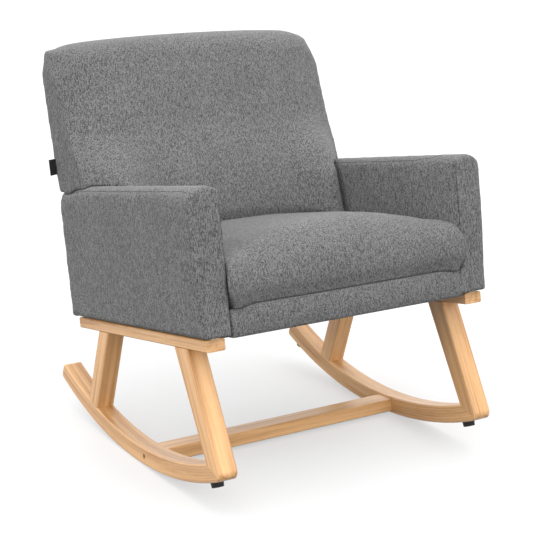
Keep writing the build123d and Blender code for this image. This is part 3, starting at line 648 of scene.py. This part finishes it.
def seat_form(places):
    """The seat as it sits: flatter over the front, full at its front corners, and tucked in under them."""
    flatten, lift, push, overhang, tuck = 7.5 * MM, 11 * MM, 12 * MM, 9 * MM, 9 * MM
    flat_middle, flat_width = 165 * MM, 75 * MM
    low, _ = upright_box("seat_cushion")
    x, y, z = places.T
    side, forward = np.abs(x), -y
    top = rising(z, start=low[2] + 25 * MM, length=60 * MM)
    foot = falling(z, end=low[2] + 36 * MM, length=36 * MM)
    front = rising(forward, start=330 * MM, length=40 * MM)
    flat = np.exp(-((side - flat_middle) / flat_width) ** 2)
    flat *= rising(forward, start=150 * MM, length=150 * MM)
    lifted = rising(side, start=205 * MM, length=55 * MM) * rising(forward, start=225 * MM, length=130 * MM)
    pushed = rising(side, start=190 * MM, length=65 * MM) * front
    brim = rising(side, start=225 * MM, length=35 * MM) * rising(forward, start=368 * MM, length=11 * MM)
    tucked = rising(side, start=215 * MM, length=45 * MM) * front * foot ** 2
    new_x = x + np.sign(x) * (overhang * brim * (1.0 - foot) - tuck * tucked)
    new_y = y - push * pushed
    new_z = z + (lift * lifted - flatten * flat) * top + seam_rise(x) * foot * front
    return np.stack([new_x, new_y, new_z], axis=1)


def seat_cushion():
    """The seat: crowned on top, full at the front, flat where it rests on the deck."""
    front_room, crown_room = (0.0, 6 * MM, 0.0), (0.0, 0.0, 8 * MM)
    low, high = upright_box("seat_cushion")
    rest_height = low[2] + 4 * MM
    piece = copy_of_node("seat_pad", "seat_cushion")
    remesh_crisp(piece, OCTREE_DEPTH)
    held = to_upright(coordinates(piece.data))[:, 2] < rest_height
    plump(piece, "seat_cushion", held, depth=5 * MM, limit=10 * MM)
    keep_inside(piece, low - front_room, high + crown_room)
    subdivide(piece)
    reshape(piece, seat_form)
    above_deck = to_upright(coordinates(piece.data))[:, 2] > rest_height
    relax(piece, np.where(above_deck, 1.0, 0.0), rounds=2)
    finish_padding(piece, "seat_cushion")


def band_form(places):
    """Pressed down under the seat's ends, and drawn over the lower edge of the frame."""
    hem = 6 * MM
    low, high = upright_box("front_border")
    middle, half = (high[2] + low[2]) / 2.0, (high[2] - low[2]) / 2.0
    x, y, z = places.T
    pressed = seam_rise(x) * rising(z, start=middle, length=half)
    drawn = hem * falling(z, end=middle, length=half)
    return np.stack([x, y, z + pressed - drawn], axis=1)


def front_border():
    """The tight padded band under the seat, between the arms."""
    piece = copy_of_node("front_band", "front_border")
    remesh(piece, voxel=3 * MM)
    relax(piece, np.ones(len(piece.data.vertices)), rounds=2)
    reshape(piece, band_form)
    finish_padding(piece, "front_border")


# The back

def flat_rear(z):
    """Where the rear of the back lies at a height before it swells."""
    _, high = upright_box("outer_back")
    return high[1] - (high[2] - z) * math.tan(BACK_LEAN)


def depth_from_rear(places):
    """How far each point lies in front of the back's flat rear."""
    return flat_rear(places[:, 2]) - places[:, 1]


def back_pocket(places):
    """Which points line the room for the frame behind the back's padding."""
    margin = 4 * MM
    low, _ = upright_box("back_cushion")
    panel_low, panel_high = upright_box("outer_back")
    height = (places[:, 2] - low[2]) / (panel_high[2] - low[2])
    depth = POCKET_FOOT_DEPTH + (POCKET_TOP_DEPTH - POCKET_FOOT_DEPTH) * height
    return in_box(places, panel_low - margin, panel_high + margin) & (depth_from_rear(places) < depth)


def rear_bulge(z):
    """How far the rear of the back swells out over its height above the arms."""
    bulge, ease = 12 * MM, 1 * MM
    eased = ease * rising(z, start=740 * MM, length=90 * MM)
    return bulge * rising(z, start=505 * MM, length=70 * MM) - eased


def square_corners(places):
    """Side, depth from the rear and height of the back's points once its upper corners are squared."""
    corner_round, rear_round, corner_power = 36 * MM, 28 * MM, 3.2
    crown, drop = 9 * MM, 4 * MM
    _, high = upright_box("back_cushion")
    _, arm_high = upright_box("right_arm_padding")
    x, _, z = places.T
    side = np.abs(x)
    out = side / high[0]
    top_line = high[2] - crown * out ** 2
    corner_drop = drop * out ** 6 * rising(z, start=arm_high[2], length=high[2] - arm_high[2])
    side_depth, top_depth = tighter_edge(high[0] - side, top_line - z, corner_round, corner_power)
    rear_depth, top_depth = tighter_edge(depth_from_rear(places), top_depth, rear_round, corner_power)
    return np.sign(x) * (high[0] - side_depth), rear_depth, top_line - top_depth - corner_drop


def lower_fullness(places):
    """How far the lower back stands forward over the seat, most at its flanks."""
    middle, flank, flank_between_arms = 10 * MM, 45 * MM, 10 * MM
    seat_middle, seat_fall, seat_half, seat_power = 455 * MM, 50 * MM, 250 * MM, 3.5
    _, arm_high = upright_box("right_arm_padding")
    x, _, z = places.T
    side = np.abs(x)
    seat_top = seat_middle - seat_fall * (side / seat_half) ** seat_power
    lower = rising(z, start=seat_top - 30 * MM, length=35 * MM) * falling(z, end=650 * MM, length=120 * MM)
    between_arms = falling(z, end=arm_high[2], length=25 * MM)
    wide_end = falling(side, end=308 * MM, length=56 * MM)
    groove_end = falling(side, end=261 * MM, length=13 * MM)
    flank_end = wide_end + (groove_end - wide_end) * between_arms
    flank_share = rising(side, start=150 * MM, length=95 * MM) * flank_end
    return (middle + (flank + flank_between_arms * between_arms) * flank_share) * lower


def back_form(places):
    """The back as it is stuffed: square upper corners, a softer left front edge, and full over the seat."""
    left_thinning, right_thinning = 0.36, 0.04
    edge_start, edge_length, mouth_depth = 235 * MM, 75 * MM, 30 * MM
    x, y, z = places.T
    depth = depth_from_rear(places)
    new_x, rear_depth, new_z = square_corners(places)
    front = rising(depth, start=60 * MM, length=50 * MM)
    edge = np.clip((np.abs(x) - edge_start) / edge_length, 0.0, 1.0) ** 2
    thinning = np.where(x < 0.0, left_thinning, right_thinning) * edge
    thinning *= rising(z, start=560 * MM, length=150 * MM)
    new_y = y + depth - rear_depth * (1.0 - thinning)
    new_y += rear_bulge(z) * (1.0 - front) - lower_fullness(places) * front
    shaped = np.stack([new_x, new_y, new_z], axis=1)
    mouth = falling(depth, end=mouth_depth, length=mouth_depth)
    lining = np.stack([x, y + rear_bulge(z) * mouth, z], axis=1)
    return np.where(back_pocket(places)[:, None], lining, shaped)


def ease_upper_corners(piece):
    """Evens out the two upper corners of the back."""
    corner_side = 250 * MM
    _, high = upright_box("back_cushion")
    places = to_upright(coordinates(piece.data))
    corner = (np.abs(places[:, 0]) > corner_side) & ~back_pocket(places)
    upper = rising(places[:, 2], start=high[2] - 70 * MM, length=25 * MM)
    relax(piece, np.where(corner, upper, 0.0), rounds=4)


def lay_on_arms(piece):
    """Brings the foot of the back's two wings down onto the rounded tops of the arms."""
    gap, fade, side_margin = 0.4 * MM, 34 * MM, 2 * MM
    arm_low, arm_high = upright_box("right_arm_padding")
    fade_top = arm_high[2] + fade
    graph = bpy.context.evaluated_depsgraph_get()
    arms = [BVHTree.FromObject(bpy.data.objects[f"{side}_arm"], graph) for side in OUTWARD]
    down = Vector(to_row((0.0, 0.0, -1.0)))
    places = to_upright(coordinates(piece.data))
    over_arm = np.abs(places[:, 0]) > arm_low[0] + side_margin
    wing_foot = over_arm & (places[:, 2] < fade_top) & ~back_pocket(places)
    for index in np.flatnonzero(wing_foot):
        x, y, z = places[index]
        above = Vector(to_row((x, min(y, arm_high[1] + ARM_REAR_REACH), fade_top)))
        hit = arms[0 if x < 0.0 else 1].ray_cast(above, down)[0]
        if hit is None:
            continue
        drop = arm_high[2] - to_upright(hit)[2] - gap
        places[index, 2] -= drop * float(falling(z, end=fade_top, length=fade))
    set_coordinates(piece.data, to_row(places))


def sew_back(piece):
    """The short seam between the front of the back and its sides, just above the arms."""
    foot_front, top_front, length, inset = 111 * MM, 121 * MM, 52 * MM, 1 * MM
    _, high = upright_box("back_cushion")
    _, arm_high = upright_box("right_arm_padding")
    for side, outward in OUTWARD.items():
        edge = outward * (high[0] - inset)
        line = [(edge, foot_front, arm_high[2]), (edge, top_front, arm_high[2] + length)]
        sew(f"{side}_back_seam", piece, line, depth=0.8 * MM, width=3.5 * MM)


def back_cushion():
    """The back: smooth and lightly crowned, tight over its frame and hollow behind for it."""
    front_room, crown_room = (0.0, 6 * MM, 0.0), (0.0, 2 * MM, 4 * MM)
    low, high = upright_box("back_cushion")
    rest_height = low[2] + 4 * MM
    piece = copy_of_node("back_pad", "back_cushion")
    remesh_crisp(piece, OCTREE_DEPTH)
    places = to_upright(coordinates(piece.data))
    held = back_pocket(places) | (places[:, 2] < rest_height)
    plump(piece, "back_cushion", held, depth=3 * MM, limit=7 * MM)
    keep_inside(piece, low - front_room, high + crown_room)
    subdivide(piece)
    reshape(piece, back_form)
    ease_upper_corners(piece)
    lay_on_arms(piece)
    sew_back(piece)
    finish_padding(piece, "back_cushion")


# The arms

def arm_pocket(side, places):
    """Which points line the room for an arm's panel."""
    margin = 4 * MM
    panel_low, panel_high = upright_box(f"{side}_arm_panel")
    return in_box(places, panel_low - margin, panel_high + margin)


def arm_form(side, places):
    """Square rear edges that lean with the back, a crisp inner edge and a full outer corner at the front."""
    fullness, rounding, edge_width, pressing = 6 * MM, 8 * MM, 26 * MM, 13 * MM
    hem_round, rear_lean = 8 * MM, 0.015
    low, high = upright_box(f"{side}_arm_padding")
    inner, outer = sorted((abs(low[0]), abs(high[0])))
    x, y, z = places.T
    height = z - low[2]
    side_depth, rear_depth = tighter_edge(outer - np.abs(x), high[1] - y, radius=7 * MM, power=8.0)
    rear_depth, top_depth = tighter_edge(rear_depth, high[2] - z, radius=14 * MM, power=6.0)
    inner_depth, front_depth = outer - side_depth - inner, high[1] - rear_depth - low[1]
    inner_depth, front_depth = tighter_edge(inner_depth, front_depth, radius=13 * MM, power=6.0)
    from_outside = outer - inner - inner_depth
    front = falling(y, end=low[1] + 130 * MM, length=90 * MM)
    rear = rising(y, start=high[1] - 110 * MM, length=110 * MM)
    full = fullness * front * rising(height, start=0.0, length=180 * MM)
    full *= falling(from_outside, end=45 * MM, length=45 * MM)
    near_edge = np.clip(1.0 - from_outside / edge_width, 0.0, 1.0)
    round_off = rounding * front * rising(height, start=0.0, length=260 * MM) * near_edge ** 2
    under_wing = rising(y, start=95 * MM, length=95 * MM) * falling(from_outside, end=55 * MM, length=55 * MM)
    press = pressing * under_wing * rising(height, start=190 * MM, length=70 * MM)
    hem = np.clip(1.0 - height / hem_round, 0.0, 1.0)
    hem_inset = hem_round * (1.0 - np.sqrt(1.0 - hem ** 2))
    foot = falling(height, end=52 * MM, length=6 * MM) * front
    toe = ARM_FOOT_WIDTH[side] * foot * falling(inner_depth, end=20 * MM, length=20 * MM)
    new_x = np.sign(x) * (inner + inner_depth + full - toe)
    new_y = low[1] + front_depth + (ARM_REAR_REACH + rear_lean * height - hem_inset) * rear
    shaped = np.stack([new_x, new_y, high[2] - top_depth - round_off - press], axis=1)
    return np.where(arm_pocket(side, places)[:, None], places, shaped)


def sew_arm(side, piece):
    """Seams along both top edges, ending before the front, and down the inner front edge."""
    low, high = upright_box(f"{side}_arm_padding")
    inner, outer = sorted((abs(low[0]), abs(high[0])))
    rear, front, shoulder = high[1] - 3 * MM, low[1] + 1 * MM, high[2] - 7 * MM
    outer_edge, outer_end = outer - 4 * MM, low[1] + 17 * MM
    inner_edge, inner_end = inner + 4 * MM, low[1] + 67 * MM
    front_edge, foot_edge = inner + 1 * MM, inner + 1 * MM - ARM_FOOT_WIDTH[side]
    foot_top, foot_step, bend = low[2] + 56 * MM, 10 * MM, 24 * MM
    top_width, top_depth = 4 * MM, 1.3 * MM
    front_width, front_depth = 3.5 * MM, 1.0 * MM
    outer_line = [
        (outer_edge, rear, shoulder),
        (outer_edge, outer_end + bend, shoulder),
        (outer_edge + 2 * MM, outer_end, shoulder - 3.5 * MM),
    ]
    inner_line = [
        (inner_edge, rear, shoulder),
        (inner_edge, inner_end + 3 * bend, shoulder),
        (inner_edge + 5 * MM, inner_end + bend, shoulder + 4 * MM),
        (inner_edge + 18 * MM, inner_end, high[2]),
    ]
    front_line = [
        (front_edge, front, high[2] - 18 * MM),
        (front_edge, front, foot_top),
        (foot_edge, front, foot_top - foot_step),
        (foot_edge, front, low[2] + 4 * MM),
    ]
    seams = {
        "outer": (outer_line, top_depth, top_width),
        "inner": (inner_line, top_depth, top_width),
        "front": (front_line, front_depth, front_width),
    }
    for name, (line, depth, width) in seams.items():
        placed = [(OUTWARD[side] * across, along, up) for across, along, up in line]
        sew(f"{side}_arm_{name}_seam", piece, placed, depth, width)


def arm(side):
    """An arm: a tight padded cover with a pocket for its panel."""
    front_room, crown_room = (0.0, 3 * MM, 0.0), (0.0, 0.0, 2 * MM)
    node = f"{side}_arm_padding"
    low, high = upright_box(node)
    rest_height = low[2] + 3 * MM
    piece = copy_of_node(f"{side}_arm", node)
    remesh_crisp(piece, OCTREE_DEPTH)
    places = to_upright(coordinates(piece.data))
    held = arm_pocket(side, places) | (places[:, 2] < rest_height)
    plump(piece, node, held, depth=2 * MM, limit=5 * MM)
    keep_inside(piece, low - front_room, high + crown_room)
    subdivide(piece)
    reshape(piece, lambda points: arm_form(side, points))
    sew_arm(side, piece)
    finish_padding(piece, node)


# Thin cloth pieces

WELT_RADIUS = 3.0 * MM
STAPLES_PER_SIDE = 7
STRAP_WIDTH = 50 * MM


def grid_mesh(name, places):
    """A mesh of squares through a grid of points."""
    rows, columns, _ = places.shape
    corner = np.arange(rows * columns).reshape(rows, columns)
    squares = [corner[:-1, :-1], corner[:-1, 1:], corner[1:, 1:], corner[1:, :-1]]
    faces = np.stack(squares, axis=-1).reshape(-1, 4)
    mesh = bpy.data.meshes.new(name)
    mesh.from_pydata(places.reshape(-1, 3).tolist(), [], faces.tolist())
    mesh.update()
    return mesh


def thicken(piece, thickness):
    """Gives a sheet its thickness, inwards from its face."""
    modifier = piece.modifiers.new("thickness", "SOLIDIFY")
    modifier.thickness = thickness
    modifier.offset = -1.0
    apply_modifiers(piece)


def outer_back():
    """The outside back: one panel drawn tight over the frame, its edges turned in along the seam."""
    rows, columns = 90, 80
    seam_gap, arm_gap, step_length = 0.5 * MM, 5.5 * MM, 12 * MM
    turn_depth, turn_width, fullness = 2 * MM, 5 * MM, 3.5 * MM
    low, high = upright_box("outer_back")
    arm_low, arm_high = upright_box("right_arm_padding")
    narrow, wide = arm_low[0] - arm_gap - seam_gap, high[0] - seam_gap
    top, step_height = high[2] - seam_gap, arm_high[2] + 10 * MM
    across, up = np.meshgrid(np.linspace(-1.0, 1.0, columns), np.linspace(low[2], top, rows))
    widening = rising(up, start=step_height - step_length / 2.0, length=step_length)
    half = narrow + (wide - narrow) * widening
    rise = (up - low[2]) / (high[2] - low[2])
    edge = np.minimum(np.minimum(half * (1.0 - np.abs(across)), up - low[2]), top - up)
    turned_in = turn_depth * np.exp(-((edge / turn_width) ** 2))
    full = fullness * (1.0 - np.abs(across) ** 3) * np.sqrt(np.sin(math.pi * rise))
    rear = flat_rear(up) + rear_bulge(up) + full - turned_in
    places = to_row(np.stack([half * across, rear, up], axis=-1))
    piece = new_piece("outside_back", grid_mesh("outside_back", places))
    piece.data.flip_normals()
    thicken(piece, 1.5 * MM)
    finish_cloth(piece, "outer_back", cover_cloth)
    outline = [(narrow, low[2]), (narrow, step_height), (wide, step_height), (wide, high[2])]
    outline += [(-x, z) for x, z in reversed(outline)]
    rim = resampled([(x, flat_rear(z), z) for x, z in outline], spacing=5 * MM)
    rim[:, 1] += rear_bulge(rim[:, 2])
    thread("outside_back_welt", piece, to_row(rim), WELT_RADIUS, cover_cloth)


def dust_cover():
    """The black cloth under the seat, pulled tight between staples and sagging a little."""
    rows, columns = 70, 70
    sag_depth, sag_power = 5 * MM, 0.7
    pull_depth, pull_share = 0.8 * MM, 0.06
    low, high = upright_box("dust_cover")
    x, y = np.meshgrid(np.linspace(low[0], high[0], columns), np.linspace(low[1], high[1], rows))
    across = (x - low[0]) / (high[0] - low[0])
    along = (y - low[1]) / (high[1] - low[1])
    sag = sag_depth * (np.sin(math.pi * across) * np.sin(math.pi * along)) ** sag_power
    edge = np.minimum(np.minimum(across, 1.0 - across), np.minimum(along, 1.0 - along))
    turns = 2.0 * math.pi * STAPLES_PER_SIDE
    waves = np.sin(turns * across) + np.sin(turns * along)
    pull = np.minimum(pull_depth * np.exp(-edge / pull_share) * waves, 0.0)
    places = to_row(np.stack([x, y, low[2] - sag + pull], axis=-1))
    piece = new_piece("under_cloth", grid_mesh("under_cloth", places))
    piece.data.flip_normals()
    thicken(piece, 0.8 * MM)
    finish_cloth(piece, "dust_cover", lining_cloth)


def staples():
    """Wire staples round the edge of the cloth under the seat."""
    inset, crown, wire, edge_round = 9 * MM, 10 * MM, 0.9 * MM, 0.25 * MM
    low, high = upright_box("dust_cover")
    builder = bmesh.new()
    spots = []
    for index in range(STAPLES_PER_SIDE):
        share = (index + 0.5) / STAPLES_PER_SIDE
        x = low[0] + share * (high[0] - low[0])
        y = low[1] + share * (high[1] - low[1])
        spots += [(x, low[1] + inset, True), (x, high[1] - inset, True)]
        spots += [(low[0] + inset, y, False), (high[0] - inset, y, False)]
    for x, y, sideways in spots:
        made = bmesh.ops.create_cube(builder, size=1.0)["verts"]
        long_side = (crown, wire) if sideways else (wire, crown)
        for corner in made:
            offset = (corner.co.x * long_side[0], corner.co.y * long_side[1], corner.co.z * wire)
            corner.co = Vector(to_row((x + offset[0], y + offset[1], low[2] - wire + offset[2])))
    bmesh.ops.bevel(builder, geom=builder.edges[:], offset=edge_round, segments=2, affect="EDGES")
    mesh = bpy.data.meshes.new("under_staples")
    builder.to_mesh(mesh)
    builder.free()
    piece = new_piece("under_staples", mesh)
    give_material(mesh, zinc_steel)


def side_tab():
    """A bare black tab: a folded strip caught in the seam at the back's left rear edge."""
    rows, run_count = 24, 14
    layer, caught = 0.55 * MM, 2 * MM
    curl_size, curl_level, droop = 1.2 * MM, 0.35, 1.5 * MM
    low, high = upright_box("side_tab")
    reach = high[0] - low[0]
    fold = (high[1] - low[1]) / 2.0 - layer / 2.0
    middle = (low[1] + high[1]) / 2.0 + rear_bulge((low[2] + high[2]) / 2.0)
    straight = np.linspace(high[0] + caught, low[0] + fold, run_count)
    turn = np.linspace(0.0, math.pi, run_count)[1:-1]
    path_x = np.concatenate([straight, low[0] + fold - fold * np.sin(turn), straight[::-1]])
    path_y = np.concatenate([np.full(run_count, -fold), -fold * np.cos(turn), np.full(run_count, fold)])
    x, z = np.meshgrid(path_x, np.linspace(low[2], high[2], rows))
    out = (high[0] - x) / reach
    height = (z - low[2]) / (high[2] - low[2])
    curl = curl_size * out ** 2 * (height - curl_level)
    places = to_row(np.stack([x, middle + path_y[None, :] + curl, z - droop * out], axis=-1))
    piece = new_piece("side_loop", grid_mesh("side_loop", places))
    thicken(piece, layer)
    finish_cloth(piece, "side_tab", tab_cloth)


def deck_felt():
    """The felt pad over the springs, under the seat."""
    piece = copy_of_node("deck_felt", "deck_pad")
    remesh(piece, voxel=3 * MM)
    relax(piece, np.ones(len(piece.data.vertices)), rounds=1)
    finish_padding(piece, "deck_pad", material=lining_cloth)


def webbing():
    """Straps across the back frame, drawn tight from post to post."""
    cuts, give, edge_round = 40, 2 * MM, 0.5 * MM
    low, high = upright_box("back_webbing")
    piece = copy_of_node("back_straps", "back_webbing")
    builder = bmesh.new()
    builder.from_mesh(piece.data)
    lengthwise = []
    for edge in builder.edges:
        first, second = edge.verts
        if abs(first.co.x - second.co.x) > STRAP_WIDTH:
            lengthwise.append(edge)
    bmesh.ops.subdivide_edges(builder, edges=lengthwise, cuts=cuts, use_grid_fill=True)
    for corner in builder.verts:
        share = corner.co.x / high[0]
        corner.co += Vector(to_row((0.0, give * (1.0 - share * share), 0.0)))
    builder.to_mesh(piece.data)
    builder.free()
    rounding = piece.modifiers.new("edges", "BEVEL")
    rounding.width = edge_round
    rounding.segments = 2
    apply_modifiers(piece)
    finish_cloth(piece, "back_webbing", lining_cloth)


seat_cushion()
for side in OUTWARD:
    arm(side)
back_cushion()
front_border()
outer_back()
dust_cover()
staples()
side_tab()
deck_felt()
webbing()


# Camera, light and floor

CAMERA_PLACE = (-1.4621, -2.4115, 1.1059)
CAMERA_DIRECTION = (0.5021, 0.8250, -0.2592)
CAMERA_LENS = 96.6
SENSOR_WIDTH = 36.0
FLOOR_HALF = 60.0
FLOOR_DROP = 0.5 * MM
FLOOR_GREYS = ((0.35, 0.35, 0.35), (0.37, 0.37, 0.37))
FLOOR_GLOW = 0.5
WHITE = (1.0, 1.0, 1.0, 1.0)
DOME_LIGHT = 1.72
DOME_FOOT = (-0.06, -0.03)
LIGHT_TARGET = (0.0, 0.0, 0.4)


def set_camera():
    """A long lens from the front left, a little above the seat."""
    camera = bpy.data.cameras.new("camera")
    camera.lens = CAMERA_LENS
    camera.sensor_width = SENSOR_WIDTH
    holder = bpy.data.objects.new("camera", camera)
    scene.collection.objects.link(holder)
    holder.location = CAMERA_PLACE
    holder.rotation_euler = Vector(CAMERA_DIRECTION).to_track_quat("-Z", "Y").to_euler()
    scene.camera = holder


def set_light(name, place, size, power):
    """A square soft box turned to the chair."""
    lamp = bpy.data.lights.new(name, "AREA")
    lamp.shape = "SQUARE"
    lamp.size = size
    lamp.energy = power
    holder = bpy.data.objects.new(name, lamp)
    scene.collection.objects.link(holder)
    holder.location = place
    holder.rotation_euler = (Vector(LIGHT_TARGET) - Vector(place)).to_track_quat("-Z", "Y").to_euler()


def set_floor():
    """A plain pale floor: a glow keeps it white, and it gives the chair no diffuse light."""
    builder = bmesh.new()
    bmesh.ops.create_grid(builder, x_segments=1, y_segments=1, size=FLOOR_HALF)
    mesh = bpy.data.meshes.new("floor")
    builder.to_mesh(mesh)
    builder.free()
    floor = bpy.data.objects.new("floor", mesh)
    scene.collection.objects.link(floor)
    floor.location = (0.0, 0.0, -FLOOR_DROP)
    floor.visible_diffuse = False
    shader = Shader("pale_floor")
    tone = shader.noise(shader.place(), scale=2.0)
    shader.drive("Base Color", shader.ramp(tone, *zip(MIDDLE_OF_NOISE, FLOOR_GREYS)))
    shader.set(Roughness=0.9, Specular_IOR_Level=0.1)
    shader.set(Emission_Color=WHITE, Emission_Strength=FLOOR_GLOW)
    give_material(mesh, shader.material)


def set_world():
    """An even white dome above the floor."""
    world = bpy.data.worlds.new("studio")
    world.use_nodes = True
    tree = world.node_tree
    direction = tree.nodes.new("ShaderNodeTexCoord")
    parts = tree.nodes.new("ShaderNodeSeparateXYZ")
    rise = tree.nodes.new("ShaderNodeMapRange")
    background = tree.nodes["Background"]
    put(rise, From_Min=DOME_FOOT[0], From_Max=DOME_FOOT[1], To_Min=0.0, To_Max=DOME_LIGHT)
    put(background, Color=WHITE)
    tree.links.new(direction.outputs["Generated"], parts.inputs[0])
    tree.links.new(parts.outputs["Z"], rise.inputs["Value"])
    tree.links.new(rise.outputs["Result"], background.inputs["Strength"])
    scene.world = world


set_camera()
set_floor()
set_world()
set_light("front", place=(0.0, -2.6, 0.8), size=1.2, power=7.0)
set_light("left", place=(-2.6, -0.4, 1.0), size=1.4, power=9.0)
set_light("top", place=(-0.3, -0.9, 3.1), size=2.6, power=22.0)
scene.view_settings.view_transform = "Standard"
